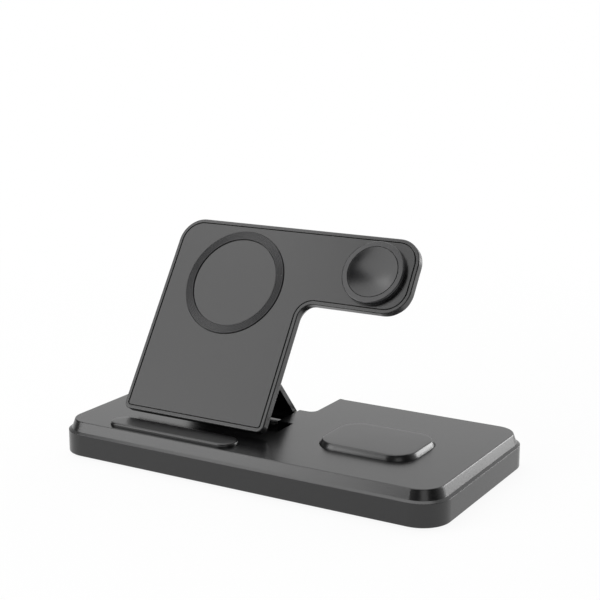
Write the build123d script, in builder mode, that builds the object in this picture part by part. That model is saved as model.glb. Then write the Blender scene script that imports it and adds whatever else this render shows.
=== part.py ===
from build123d import *
import os
from math import cos, radians, sin

# Folding charging stand: a flat base, a strut hinged in the base, and a leaning flag-shaped panel
# hinged on the strut's tip. Millimetres, Z up, X along the base, Y to the rear,
# origin on the ground below the middle of the base. It stands open.

# Base
BASE_L = 174.0
BASE_W = 88.6
BASE_R = 11.9
FOOT_PROUD = 0.8
SHELL_H = 9.4
COVER_H = 4.5
WALL = 2.0
FLOOR = 2.0
TOP_T = 1.9
LEDGE = 1.2
TOP_INSET = 2.8
SEAM = 0.1
LIP_T = 1.3
LIP_DEPTH = 1.6
BOTTOM_R = 0.5
LEDGE_R = 0.3
TOP_EDGE_R = 0.5
EASE = 0.3

# Stand: place from the base's left end, strut and its two hinges
STAND_IN = 55.7
STRUT_W = 47.6
STRUT_T = 2.4
STRUT_EASE = 0.15
STRUT_L = 29.2
RISE = 49.4
LEAN = 56.5
BARREL_R = 2.4
PIN_R = 1.0
PIN_FIT = 0.03
RUN_FIT = 0.05
HINGE_IN = 2.25
WASHER_T = 0.4
WASHER_GAP = 0.1
SHOULDER_GAP = 0.8

# Rear notch and the recess that the strut folds into
NOTCH_W = 63.0
NOTCH_DEPTH = 25.3
NOTCH_R = 3.0
MOUTH_R = 1.5
CROSS_IN = 3.85
CROSS_L = 12.5
TUB_GAP = 0.5
TUB_T = 1.6
LUG_T = 5.0
LUG_DEPTH = 6.3

# Panel with its side arm
PANEL_W = 68.1
PANEL_H = 88.0
PANEL_R = 10.5
PANEL_FOOT_R = 3.0
ARM_REACH = 46.5
ARM_MARGIN = 2.6
ARM_NECK_R = 6.0
RIM_T = 3.3
SLOPE_T = 4.2
SLOPE_INSET = 2.4
RIM_W = 1.5
LID_T = 1.6
LID_GAP = 0.3
PANEL_WALL = 1.6
CAVITY_INSET = 3.0
BACK_EDGE_R = 0.8
RIM_EDGE_R = 0.4
LID_EDGE_R = 0.25
FOOT_GAP = 2.2
FOLD_GAP = 2.1
KNUCKLE_W = 6.0
KNUCKLE_INSET = 0.4

# Rest bar in front of the panel, and tray pad placed from the base's right end
BAR_L = 60.3
BAR_W = 10.8
BAR_H = 1.6
BAR_ROUND = 0.9
BAR_SHIFT = -3.55
BAR_IN = 10.2
PAD_L = 42.4
PAD_W = 32.0
PAD_R = 10.0
PAD_H = 2.3
PAD_SLOPE = 1.2
PAD_ROUND = 0.5
PAD_IN = 44.8
PAD_Y = -4.0
SEAT = 0.8
SEAT_GAP = 0.2

# Puck on the arm
PUCK_D = 27.0
PUCK_FLANGE = 1.3
PUCK_PROUD = 2.4
PUCK_WALL = 1.2
PUCK_FACE_T = 1.6
PUCK_DISH = 0.9
PUCK_IN = 17.75
PUCK_GAP = 0.2
PUCK_MAGNET_R = 5.2

# Screws
SCREW_IN = 13.0
SCREW_R = 1.2
SCREW_HEAD_R = 2.4
SCREW_HEAD_T = 1.8
SCREW_FIT = 0.05
BOSS_R = 4.0
BOSS_DROP = 2.5
FOOT_D = 13.0
SMALL_SCREW_R = 0.8
SMALL_HEAD_R = 1.6
SMALL_HEAD_T = 1.0
SMALL_HEAD_WALL = 0.8
SMALL_SCREW_IN = 6.0
CORNER_SCREW_IN = 8.0

# Boards and the inlet; each chip is its x and y on the board, its length, width and height
BOARD_T = 1.2
BOARD_L = 56.0
BOARD_W = 42.0
POST_R = 2.0
POST_H = 2.2
CHIPS = [
    (-18, 10, 7, 7, 1.0),
    (-4, 11, 5, 5, 0.9),
    (12, 10, 6.5, 6.5, 2.4),
    (-20, -9, 6.5, 6.5, 2.4),
    (17, -8, 8, 5, 1.2),
]
PANEL_BOARD_L = 46.0
PANEL_BOARD_W = 28.0
PANEL_BOARD_T = 0.8
PANEL_BOARD_UP = 20.0
PANEL_CHIPS = [
    (-14, 5, 6, 6, 0.9),
    (2, 6, 4, 4, 0.8),
    (14, -4, 5, 5, 2.2),
    (-10, -7, 7, 4, 1.0),
]
INLET_POST = 0.6
INLET_W = 8.94
INLET_H = 3.2
INLET_L = 7.4
INLET_WALL = 0.35
INLET_BACK = 0.5
INLET_OPEN = 0.5
TONGUE_W = 6.7
TONGUE_T = 0.7
TONGUE_L = 5.5
INLET_BOARD_L = 16.0
INLET_BOARD_W = 13.0
INLET_BOARD_T = 1.0
LEAD_R = 0.6
LEAD_RUN = 4.5
LEAD_BEND = 4.0
CLOSE = 0.05

# Coils with their ferrites, the soft ring on the panel, and the weight in the base
COIL_T = 1.3
FERRITE_T = 0.8
FERRITE_RIM = 1.0
PAD_COIL_R = 16.0
PAD_COIL_HOLE_R = 9.0
PANEL_COIL_DROP = 27.0
PANEL_COIL_R = 22.0
PANEL_COIL_HOLE_R = 10.0
CUSHION_W = 35.0
GRIP_R = 23.0
GRIP_HOLE_R = 19.5
GRIP_SEAT = 0.5
GRIP_PROUD = 0.5
GRIP_ROUND = 0.25
BALLAST_GAP = 0.8
BALLAST_ROOM = 15.8

# Places on the base, and its levels
STAND_X = STAND_IN - BASE_L / 2
BAR_X = STAND_X + BAR_SHIFT
BAR_Y = BAR_IN - BASE_W / 2
PAD_X = BASE_L / 2 - PAD_IN
SCREW_X = BASE_L / 2 - SCREW_IN
SCREW_Y = BASE_W / 2 - SCREW_IN
Z_SHELL = FOOT_PROUD
Z_FLOOR = Z_SHELL + FLOOR
Z_SPLIT = Z_SHELL + SHELL_H
Z_COVER = Z_SPLIT + SEAM
Z_TOP = Z_SPLIT + COVER_H
Z_UNDER = Z_TOP - TOP_T
BOSS_MEET = Z_SPLIT - BOSS_DROP
BOARD_Z = Z_FLOOR + POST_H
INLET_Z = Z_FLOOR + INLET_POST + INLET_BOARD_T + INLET_H / 2

# Notch, the two hinge axes seen from the side, and the recess below the folded strut
NOTCH_Y = BASE_W / 2 - NOTCH_DEPTH
NOTCH_MID = (BASE_W / 2 + NOTCH_Y) / 2
HINGE_Y = NOTCH_Y - HINGE_IN
HINGE_Z = Z_TOP - BARREL_R - CLOSE
TIP_Y = HINGE_Y - STRUT_L * cos(radians(RISE))
TIP_Z = HINGE_Z + STRUT_L * sin(radians(RISE))
TUB_FLOOR = HINGE_Z - BARREL_R - TUB_GAP
TUB_FRONT = HINGE_Y - STRUT_L - BARREL_R - TUB_GAP
CROSS_FRONT = TUB_FRONT + CROSS_IN
STEM_W = STRUT_W + 2 * (WASHER_T + 2 * WASHER_GAP)

# Panel frame: x along the base, y up the panel from its foot, z out of its back towards its face.
# The hinge drops behind the back by what keeps the folded panel above the base, and the foot hangs
# below the hinge by what keeps the open panel above it.
UP = Vector(0, cos(radians(LEAN)), sin(radians(LEAN)))
OUT = Vector(0, -sin(radians(LEAN)), cos(radians(LEAN)))
FACE_AXIS = Axis((0, 0, 0), (0, OUT.Y, OUT.Z))
PANEL_T = RIM_T + SLOPE_T
HINGE_DROP = Z_TOP + FOLD_GAP - HINGE_Z
HINGE_UP = SLOPE_INSET + (TIP_Z + HINGE_DROP * OUT.Z - Z_TOP - FOOT_GAP) / UP.Z
FOOT_POINT = Vector(STAND_X, TIP_Y, TIP_Z) + OUT * HINGE_DROP - UP * HINGE_UP
PANEL = Plane(origin=FOOT_POINT, x_dir=(1, 0, 0), z_dir=OUT)
LID_BACK = PANEL_T - LID_T
KNUCKLE_MID = STRUT_W / 2 - KNUCKLE_INSET - KNUCKLE_W / 2
TIP_BARREL_W = 2 * (KNUCKLE_MID - KNUCKLE_W / 2 - WASHER_T - 2 * WASHER_GAP)

# Places on the panel
ARM_H = PUCK_D + 2 * ARM_MARGIN
ARM_END = PANEL_W / 2 + ARM_REACH
PUCK_BODY_D = PUCK_D - 2 * PUCK_FLANGE
PUCK_X = ARM_END - PUCK_IN
PUCK_Y = PANEL_H - ARM_H / 2
PANEL_COIL_Y = PANEL_H - PANEL_COIL_DROP
PANEL_SCREWS = [
    (SMALL_SCREW_IN - PANEL_W / 2, CORNER_SCREW_IN),
    (PANEL_W / 2 - SMALL_SCREW_IN, CORNER_SCREW_IN),
    (CORNER_SCREW_IN - PANEL_W / 2, PANEL_H - CORNER_SCREW_IN),
    (PANEL_W / 2 + SMALL_SCREW_IN, PANEL_H - SMALL_SCREW_IN),
    (PANEL_W / 2 + SMALL_SCREW_IN, PANEL_H - ARM_H + SMALL_SCREW_IN),
]

PARTS = "parts"
os.makedirs(PARTS, exist_ok=True)


def save(builder, name):
    builder.part.label = name
    export_step(builder.part, os.path.join(PARTS, name + ".step"))


def side_plane(x):
    """Plane across the stand at x from its middle, drawn in the base's y and z."""
    return Plane(origin=(STAND_X + x, 0, 0), x_dir=(0, 1, 0), z_dir=(1, 0, 0))


def panel_side(x):
    """Plane across the panel at x from its middle, drawn up the panel and out of its face."""
    return Plane(origin=FOOT_POINT + Vector(x, 0, 0), x_dir=UP, z_dir=(1, 0, 0))


def notch_sketch(grow):
    """Rear notch of the base, grown by its wall, running out past the rear edge."""
    with BuildSketch() as notch:
        with Locations((STAND_X, NOTCH_MID + BASE_W / 4)):
            RectangleRounded(NOTCH_W + 2 * grow, NOTCH_DEPTH + BASE_W / 2 + 2 * grow, NOTCH_R + grow)
    return notch.sketch


def tub_sketch(grow):
    """T-shaped recess for the folded strut, grown by its wall: a stem and a wider cross."""
    stem_mid = (TUB_FRONT + NOTCH_Y) / 2
    stem_len = NOTCH_Y - TUB_FRONT
    with BuildSketch() as tub:
        with Locations((STAND_X, stem_mid)):
            Rectangle(STEM_W + 2 * grow, stem_len + 2 * grow)
        with Locations((STAND_X, CROSS_FRONT + CROSS_L / 2)):
            Rectangle(NOTCH_W + 2 * grow, CROSS_L + 2 * grow)
    return tub.sketch


def panel_sketch(inset):
    """Flag outline of the panel and its arm, drawn inset from the edge."""
    left = -PANEL_W / 2 + inset
    right = PANEL_W / 2 - inset
    low = inset
    high = PANEL_H - inset
    end = ARM_END - inset
    arm_low = PANEL_H - ARM_H + inset
    corners = [(left, low), (right, low), (right, arm_low), (end, arm_low), (end, high), (left, high)]
    outer = PANEL_R - inset
    foot = max(PANEL_FOOT_R - inset, 0.5)
    radii = [foot, foot, ARM_NECK_R + inset, outer, outer, outer]
    with BuildSketch() as outline:
        with BuildLine():
            Polyline(*corners, close=True)
        make_face()
        for corner, radius in zip(corners, radii):
            vertex = outline.vertices().sort_by_distance((corner[0], corner[1], 0))[0]
            fillet(vertex, radius)
    return outline.sketch


# Lower shell of the base: a tray with a notch in its rear wall
with BuildPart() as base_lower_shell:
    with BuildSketch(Plane.XY.offset(Z_SHELL)) as outline:
        RectangleRounded(BASE_L, BASE_W, BASE_R)
        add(notch_sketch(0), mode=Mode.SUBTRACT)
        rear_corners = outline.vertices().group_by(Axis.Y)[-1]
        fillet(rear_corners.sort_by_distance((STAND_X, BASE_W / 2, 0))[:2], MOUTH_R)
    extrude(amount=SHELL_H)
    fillet(base_lower_shell.edges().group_by(Axis.Z)[0], BOTTOM_R)
    fillet(base_lower_shell.edges().group_by(Axis.Z)[-1], LEDGE_R)
    with BuildSketch(Plane.XY.offset(Z_FLOOR)):
        RectangleRounded(BASE_L - 2 * WALL, BASE_W - 2 * WALL, BASE_R - WALL)
        add(notch_sketch(WALL), mode=Mode.SUBTRACT)
    extrude(amount=SHELL_H, mode=Mode.SUBTRACT)
    # the notch's front wall drops where the recess and its hinge blocks pass over it
    with BuildSketch(Plane.XY.offset(TUB_FLOOR - TUB_T - 2 * CLOSE)):
        with Locations((STAND_X, NOTCH_Y)):
            Rectangle(STEM_W + 2 * LUG_T + 2 * TUB_GAP, 3 * WALL)
    extrude(amount=SHELL_H, mode=Mode.SUBTRACT)
    # bosses for the screws, with a recess for each foot and head
    with BuildSketch(Plane.XY.offset(Z_SHELL + SEAT)):
        with GridLocations(2 * SCREW_X, 2 * SCREW_Y, 2, 2):
            Circle(BOSS_R)
    extrude(amount=BOSS_MEET - Z_SHELL - SEAT)
    with BuildSketch(Plane.XY.offset(Z_SHELL)):
        with GridLocations(2 * SCREW_X, 2 * SCREW_Y, 2, 2):
            Circle(FOOT_D / 2 + SEAT_GAP / 2)
    extrude(amount=SEAT, mode=Mode.SUBTRACT)
    with BuildSketch(Plane.XY.offset(Z_SHELL)):
        with GridLocations(2 * SCREW_X, 2 * SCREW_Y, 2, 2):
            Circle(SCREW_HEAD_R + SEAT_GAP)
    extrude(amount=SEAT + SCREW_HEAD_T + SEAT_GAP, mode=Mode.SUBTRACT)
    with BuildSketch(Plane.XY.offset(Z_SHELL)):
        with GridLocations(2 * SCREW_X, 2 * SCREW_Y, 2, 2):
            Circle(SCREW_R + SEAT_GAP)
    extrude(amount=BOSS_MEET, mode=Mode.SUBTRACT)
    # posts for the two boards
    with BuildSketch(Plane.XY.offset(Z_FLOOR)):
        with Locations((PAD_X, PAD_Y)):
            with GridLocations(BOARD_L - 3 * POST_R, BOARD_W - 3 * POST_R, 2, 2):
                Circle(POST_R)
    extrude(amount=POST_H)
    with BuildSketch(Plane.XY.offset(Z_FLOOR)):
        with Locations((PAD_X, BASE_W / 2 - WALL - INLET_BOARD_W / 2)):
            with GridLocations(INLET_BOARD_L - 2 * POST_R, 0, 2, 1):
                Rectangle(POST_R, INLET_BOARD_W - POST_R)
    extrude(amount=INLET_POST)
    # opening for the inlet
    with BuildSketch(Plane.XZ.offset(-BASE_W / 2)):
        with Locations((PAD_X, INLET_Z)):
            SlotOverall(INLET_W + INLET_OPEN, INLET_H + INLET_OPEN)
    extrude(amount=WALL, mode=Mode.SUBTRACT)
save(base_lower_shell, "base_lower_shell")


def cover_shape(z_low, inset_low, z_high, inset_high):
    """Sloped block with rounded corners, for the cover's outside and its hollow."""
    with BuildPart() as block:
        for z, inset in ((z_low, inset_low), (z_high, inset_high)):
            with BuildSketch(Plane.XY.offset(z)):
                RectangleRounded(BASE_L - 2 * inset, BASE_W - 2 * inset, BASE_R - inset)
        loft(ruled=True)
    return block.part


# Top cover of the base: sloped sides, the recess for the strut, hinge blocks and seats
SLOPE_AT_UNDER = LEDGE + (TOP_INSET - LEDGE) * (Z_UNDER - Z_COVER) / (Z_TOP - Z_COVER)
LIP_OUT = WALL + SEAT_GAP
with BuildPart() as base_top_cover:
    add(cover_shape(Z_COVER, LEDGE, Z_TOP, TOP_INSET))
    fillet(base_top_cover.edges().group_by(Axis.Z)[-1], TOP_EDGE_R)
    add(cover_shape(Z_COVER, LEDGE + WALL, Z_UNDER, SLOPE_AT_UNDER + WALL), mode=Mode.SUBTRACT)
    # lip that drops inside the shell's wall, open at the notch and over the inlet
    with BuildSketch(Plane.XY.offset(Z_SPLIT - LIP_DEPTH)):
        RectangleRounded(BASE_L - 2 * LIP_OUT, BASE_W - 2 * LIP_OUT, BASE_R - LIP_OUT)
        RectangleRounded(
            BASE_L - 2 * (LIP_OUT + LIP_T),
            BASE_W - 2 * (LIP_OUT + LIP_T),
            BASE_R - LIP_OUT - LIP_T,
            mode=Mode.SUBTRACT,
        )
        add(notch_sketch(WALL + SEAT_GAP), mode=Mode.SUBTRACT)
        with Locations((PAD_X, BASE_W / 2)):
            Rectangle(INLET_W + 2 * INLET_OPEN, 2 * INLET_L, mode=Mode.SUBTRACT)
    extrude(amount=LIP_DEPTH + SEAM + CLOSE)
    # walls round the notch, then the notch itself
    with BuildSketch(Plane.XY.offset(Z_COVER)):
        add(notch_sketch(WALL))
        with Locations((STAND_X, BASE_W / 2 - TOP_INSET)):
            Rectangle(BASE_L, BASE_W, align=(Align.CENTER, Align.MIN), mode=Mode.SUBTRACT)
    extrude(amount=Z_TOP - Z_COVER)
    # tub of the recess and the two hinge blocks beside its open end
    with BuildSketch(Plane.XY.offset(TUB_FLOOR - TUB_T)):
        add(tub_sketch(TUB_T))
        with Locations((STAND_X, NOTCH_Y)):
            Rectangle(BASE_L, BASE_W, align=(Align.CENTER, Align.MIN), mode=Mode.SUBTRACT)
    extrude(amount=Z_TOP - TUB_FLOOR + TUB_T)
    with BuildSketch(Plane.XY.offset(TUB_FLOOR - TUB_T)):
        with Locations((STAND_X, NOTCH_Y - LUG_DEPTH / 2)):
            Rectangle(STEM_W + 2 * LUG_T, LUG_DEPTH)
    extrude(amount=Z_TOP - TUB_FLOOR + TUB_T)
    with BuildSketch(Plane.XY.offset(TUB_FLOOR)):
        add(tub_sketch(0))
    extrude(amount=Z_TOP, mode=Mode.SUBTRACT)
    with BuildSketch(Plane.XY):
        add(notch_sketch(0))
    extrude(amount=2 * Z_TOP, mode=Mode.SUBTRACT)
    with BuildSketch(side_plane(0)):
        with Locations((HINGE_Y, HINGE_Z)):
            Circle(PIN_R + PIN_FIT)
    extrude(amount=STEM_W / 2 + LUG_T, both=True, mode=Mode.SUBTRACT)
    # eased edges round the recess and the notch
    top_edges = base_top_cover.edges().group_by(Axis.Z)[-1]
    stand_edges = top_edges.filter_by_position(Axis.X, STAND_X - NOTCH_W / 2, STAND_X + NOTCH_W / 2)
    chamfer(stand_edges.filter_by_position(Axis.Y, TUB_FRONT, BASE_W / 2), EASE)
    # seats of the bar and the pad
    with BuildSketch(Plane.XY.offset(Z_TOP - SEAT)):
        with Locations((BAR_X, BAR_Y)):
            SlotOverall(BAR_L + 2 * SEAT_GAP, BAR_W + 2 * SEAT_GAP)
        with Locations((PAD_X, PAD_Y)):
            RectangleRounded(PAD_L + 2 * SEAT_GAP, PAD_W + 2 * SEAT_GAP, PAD_R + SEAT_GAP)
    extrude(amount=Z_TOP, mode=Mode.SUBTRACT)
    # screw bosses
    with BuildSketch(Plane.XY.offset(BOSS_MEET + CLOSE)):
        with GridLocations(2 * SCREW_X, 2 * SCREW_Y, 2, 2):
            Circle(BOSS_R - SEAT_GAP)
            Circle(SCREW_R + SCREW_FIT, mode=Mode.SUBTRACT)
    extrude(amount=Z_UNDER - BOSS_MEET)
save(base_top_cover, "base_top_cover")

# Screws that hold the two halves of the base, hidden above the feet
SCREW_SEAT = Z_SHELL + SEAT + SCREW_HEAD_T + SEAT_GAP
with BuildPart() as base_screws:
    with BuildSketch(Plane.XY.offset(SCREW_SEAT - SCREW_HEAD_T)):
        with GridLocations(2 * SCREW_X, 2 * SCREW_Y, 2, 2):
            Circle(SCREW_HEAD_R)
    extrude(amount=SCREW_HEAD_T)
    with BuildSketch(Plane.XY.offset(SCREW_SEAT)):
        with GridLocations(2 * SCREW_X, 2 * SCREW_Y, 2, 2):
            Circle(SCREW_R)
    extrude(amount=Z_UNDER - SCREW_SEAT - SEAT)
save(base_screws, "base_screws")

# Rubber feet
with BuildPart() as rubber_feet:
    with BuildSketch(Plane.XY):
        with GridLocations(2 * SCREW_X, 2 * SCREW_Y, 2, 2):
            Circle(FOOT_D / 2)
    extrude(amount=FOOT_PROUD + SEAT)
    chamfer(rubber_feet.edges().group_by(Axis.Z)[0], FOOT_PROUD / 2)
save(rubber_feet, "rubber_feet")

# Raised rest bar in front of the panel
with BuildPart() as rest_bar:
    with BuildSketch(Plane.XY.offset(Z_TOP - SEAT)):
        with Locations((BAR_X, BAR_Y)):
            SlotOverall(BAR_L, BAR_W)
    extrude(amount=SEAT + BAR_H)
    fillet(rest_bar.edges().group_by(Axis.Z)[-1], BAR_ROUND)
save(rest_bar, "rest_bar")

# Raised tray pad with sloped sides at the right of the base
with BuildPart() as tray_pad:
    with BuildSketch(Plane.XY.offset(Z_TOP - SEAT)):
        with Locations((PAD_X, PAD_Y)):
            RectangleRounded(PAD_L, PAD_W, PAD_R)
    extrude(amount=SEAT)
    for z, inset in ((Z_TOP, 0), (Z_TOP + PAD_H, PAD_SLOPE)):
        with BuildSketch(Plane.XY.offset(z)):
            with Locations((PAD_X, PAD_Y)):
                RectangleRounded(PAD_L - 2 * inset, PAD_W - 2 * inset, PAD_R - inset)
    loft(ruled=True)
    fillet(tray_pad.edges().group_by(Axis.Z)[-1], PAD_ROUND)
save(tray_pad, "tray_pad")

# Power inlet: a rounded metal sleeve closed at its back, with a tongue inside
INLET_FRONT = BASE_W / 2 - SEAT_GAP
with BuildPart() as inlet_shell:
    with BuildSketch(Plane.XZ.offset(-INLET_FRONT)):
        with Locations((PAD_X, INLET_Z)):
            SlotOverall(INLET_W, INLET_H)
    extrude(amount=INLET_L)
    with BuildSketch(Plane.XZ.offset(-INLET_FRONT)):
        with Locations((PAD_X, INLET_Z)):
            SlotOverall(INLET_W - 2 * INLET_WALL, INLET_H - 2 * INLET_WALL)
    extrude(amount=INLET_L - INLET_BACK, mode=Mode.SUBTRACT)
save(inlet_shell, "inlet_shell")

with BuildPart() as inlet_tongue:
    with BuildSketch(Plane.XZ.offset(-INLET_FRONT + INLET_L - INLET_BACK)):
        with Locations((PAD_X, INLET_Z)):
            Rectangle(TONGUE_W, TONGUE_T)
    extrude(amount=-TONGUE_L)
save(inlet_tongue, "inlet_tongue")

INLET_BOARD_Y = BASE_W / 2 - WALL - INLET_BOARD_W / 2
INLET_BOARD_TOP = INLET_Z - INLET_H / 2
with BuildPart() as inlet_board:
    with BuildSketch(Plane.XY.offset(INLET_BOARD_TOP - INLET_BOARD_T)):
        with Locations((PAD_X, INLET_BOARD_Y)):
            Rectangle(INLET_BOARD_L, INLET_BOARD_W - SEAT_GAP)
    extrude(amount=INLET_BOARD_T)
save(inlet_board, "inlet_board")

# Main board on its posts, with the pieces soldered on it
BOARD_TOP = BOARD_Z + BOARD_T
with BuildPart() as main_board:
    with BuildSketch(Plane.XY.offset(BOARD_Z)):
        with Locations((PAD_X, PAD_Y)):
            RectangleRounded(BOARD_L, BOARD_W, POST_R)
    extrude(amount=BOARD_T)
save(main_board, "main_board")

with BuildPart() as board_chips:
    for x, y, length, width, height in CHIPS:
        with BuildSketch(Plane.XY.offset(BOARD_TOP)):
            with Locations((PAD_X + x, PAD_Y + y)):
                Rectangle(length, width)
        extrude(amount=height)
save(board_chips, "board_chips")

# Pair of leads from the inlet's board to the main board
LEAD_FROM_Y = INLET_BOARD_Y - INLET_BOARD_W / 2 + 3 * LEAD_R
LEAD_TO_Y = PAD_Y + BOARD_W / 2 - 4 * LEAD_R
LEAD_LOW = INLET_BOARD_TOP + LEAD_R + CLOSE
LEAD_HIGH = BOARD_TOP + LEAD_R + CLOSE
with BuildPart() as inlet_leads:
    for x in (PAD_X - 2 * LEAD_R, PAD_X + 2 * LEAD_R):
        with BuildLine() as route:
            FilletPolyline(
                (x, LEAD_FROM_Y, LEAD_LOW),
                (x, LEAD_FROM_Y - LEAD_RUN, LEAD_LOW),
                (x, LEAD_TO_Y + LEAD_RUN, LEAD_HIGH),
                (x, LEAD_TO_Y, LEAD_HIGH),
                radius=LEAD_BEND,
            )
        with BuildSketch(Plane(origin=route.line @ 0, z_dir=route.line % 0)):
            Circle(LEAD_R)
        sweep(path=route.line)
save(inlet_leads, "inlet_leads")

# Coil and ferrite under the tray pad
with BuildPart() as pad_coil:
    with BuildSketch(Plane.XY.offset(Z_UNDER - CLOSE - COIL_T)):
        with Locations((PAD_X, PAD_Y)):
            Circle(PAD_COIL_R)
            Circle(PAD_COIL_HOLE_R, mode=Mode.SUBTRACT)
    extrude(amount=COIL_T)
save(pad_coil, "pad_coil")

with BuildPart() as pad_ferrite:
    with BuildSketch(Plane.XY.offset(Z_UNDER - 2 * CLOSE - COIL_T - FERRITE_T)):
        with Locations((PAD_X, PAD_Y)):
            RectangleRounded(2 * (PAD_COIL_R + FERRITE_RIM), 2 * (PAD_COIL_R + FERRITE_RIM), POST_R)
    extrude(amount=FERRITE_T)
save(pad_ferrite, "pad_ferrite")

# Steel weight on the floor below the recess
BALLAST_LEFT = STAND_X - NOTCH_W / 2 + WALL / 2
BALLAST_RIGHT = PAD_X - BOARD_L / 2 - BALLAST_ROOM
BALLAST_REAR = NOTCH_Y - 2 * WALL
BALLAST_FRONT = -BASE_W / 2 + 2 * WALL
with BuildPart() as ballast_plate:
    with BuildSketch(Plane.XY.offset(Z_FLOOR + CLOSE)):
        with Locations(((BALLAST_LEFT + BALLAST_RIGHT) / 2, (BALLAST_FRONT + BALLAST_REAR) / 2)):
            RectangleRounded(BALLAST_RIGHT - BALLAST_LEFT, BALLAST_REAR - BALLAST_FRONT, POST_R)
    extrude(amount=TUB_FLOOR - TUB_T - BALLAST_GAP - Z_FLOOR - CLOSE)
save(ballast_plate, "ballast_plate")

# Pin and washers of the hinge in the base
with BuildPart() as base_hinge_pin:
    with BuildSketch(side_plane(0)):
        with Locations((HINGE_Y, HINGE_Z)):
            Circle(PIN_R)
    extrude(amount=STEM_W / 2 + LUG_T - SEAT_GAP, both=True)
save(base_hinge_pin, "base_hinge_pin")

with BuildPart() as base_hinge_washers:
    for side in (-1, 1):
        with BuildSketch(side_plane(side * (STRUT_W / 2 + WASHER_GAP + WASHER_T / 2))):
            with Locations((HINGE_Y, HINGE_Z)):
                Circle(BARREL_R - SEAT_GAP)
                Circle(PIN_R + PIN_FIT, mode=Mode.SUBTRACT)
        extrude(amount=WASHER_T / 2, both=True)
save(base_hinge_washers, "base_hinge_washers")

# Strut: a plate with a barrel along each end, cut back at the tip for the panel's knuckles
STRUT_DIR = Vector(0, -cos(radians(RISE)), sin(radians(RISE)))
STRUT_SIDE = Plane(origin=(STAND_X, HINGE_Y, HINGE_Z), x_dir=STRUT_DIR, z_dir=(-1, 0, 0))
SHOULDER = (BARREL_R ** 2 + HINGE_DROP ** 2) ** 0.5 + SHOULDER_GAP
with BuildPart() as strut_plate:
    with BuildSketch(STRUT_SIDE):
        with Locations((0, 0), (STRUT_L, 0)):
            Circle(BARREL_R)
        Rectangle(STRUT_L, STRUT_T, align=(Align.MIN, Align.MIN))
        with Locations((0, 0), (STRUT_L, 0)):
            Circle(PIN_R + RUN_FIT, mode=Mode.SUBTRACT)
    extrude(amount=STRUT_W / 2, both=True)
    for side in (-1, 1):
        cut_mid = side * (STRUT_W / 2 + TIP_BARREL_W / 2) / 2
        with BuildSketch(STRUT_SIDE.offset(cut_mid)):
            with Locations((STRUT_L - SHOULDER, 0)):
                Rectangle(STRUT_L, STRUT_L, align=(Align.MIN, Align.CENTER))
        extrude(amount=(STRUT_W - TIP_BARREL_W) / 4, both=True, mode=Mode.SUBTRACT)
    for side_face in (strut_plate.faces().sort_by(Axis.X)[0], strut_plate.faces().sort_by(Axis.X)[-1]):
        chamfer(side_face.outer_wire().edges(), STRUT_EASE)
save(strut_plate, "strut_plate")

# Back shell of the panel: sloped back, upright rim, a cavity and two knuckles for the strut
with BuildPart() as panel_back_shell:
    with BuildSketch(PANEL):
        add(panel_sketch(SLOPE_INSET))
    with BuildSketch(PANEL.offset(SLOPE_T)):
        add(panel_sketch(0))
    loft(ruled=True)
    with BuildSketch(PANEL.offset(SLOPE_T)):
        add(panel_sketch(0))
    extrude(amount=RIM_T)
    fillet(panel_back_shell.edges().group_by(FACE_AXIS)[0], BACK_EDGE_R)
    fillet(panel_back_shell.edges().group_by(FACE_AXIS)[-1], RIM_EDGE_R)
    with BuildSketch(PANEL.offset(LID_BACK)):
        add(panel_sketch(RIM_W))
    extrude(amount=LID_T, mode=Mode.SUBTRACT)
    with BuildSketch(PANEL.offset(PANEL_WALL)):
        add(panel_sketch(CAVITY_INSET))
    extrude(amount=LID_BACK - PANEL_WALL, mode=Mode.SUBTRACT)
    for side in (-1, 1):
        with BuildSketch(panel_side(side * KNUCKLE_MID)):
            with Locations((HINGE_UP, -HINGE_DROP)):
                Circle(BARREL_R)
                Rectangle(2 * BARREL_R, HINGE_DROP + CLOSE, align=(Align.CENTER, Align.MIN))
        extrude(amount=KNUCKLE_W / 2, both=True)
    with BuildSketch(panel_side(0)):
        with Locations((HINGE_UP, -HINGE_DROP)):
            Circle(PIN_R + PIN_FIT)
    extrude(amount=STRUT_W / 2, both=True, mode=Mode.SUBTRACT)
    # screw bosses, with the heads sunk in the back
    with BuildSketch(PANEL.offset(PANEL_WALL)):
        with Locations(*PANEL_SCREWS):
            Circle(SMALL_HEAD_R + SEAT_GAP + SMALL_HEAD_WALL)
    extrude(amount=SMALL_HEAD_T)
    with BuildSketch(PANEL):
        with Locations(*PANEL_SCREWS):
            Circle(SMALL_HEAD_R + SEAT_GAP)
    extrude(amount=SMALL_HEAD_T + 2 * SEAT_GAP, mode=Mode.SUBTRACT)
    with BuildSketch(PANEL):
        with Locations(*PANEL_SCREWS):
            Circle(SMALL_SCREW_R + SEAT_GAP)
    extrude(amount=PANEL_WALL + SMALL_HEAD_T, mode=Mode.SUBTRACT)
save(panel_back_shell, "panel_back_shell")

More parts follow.
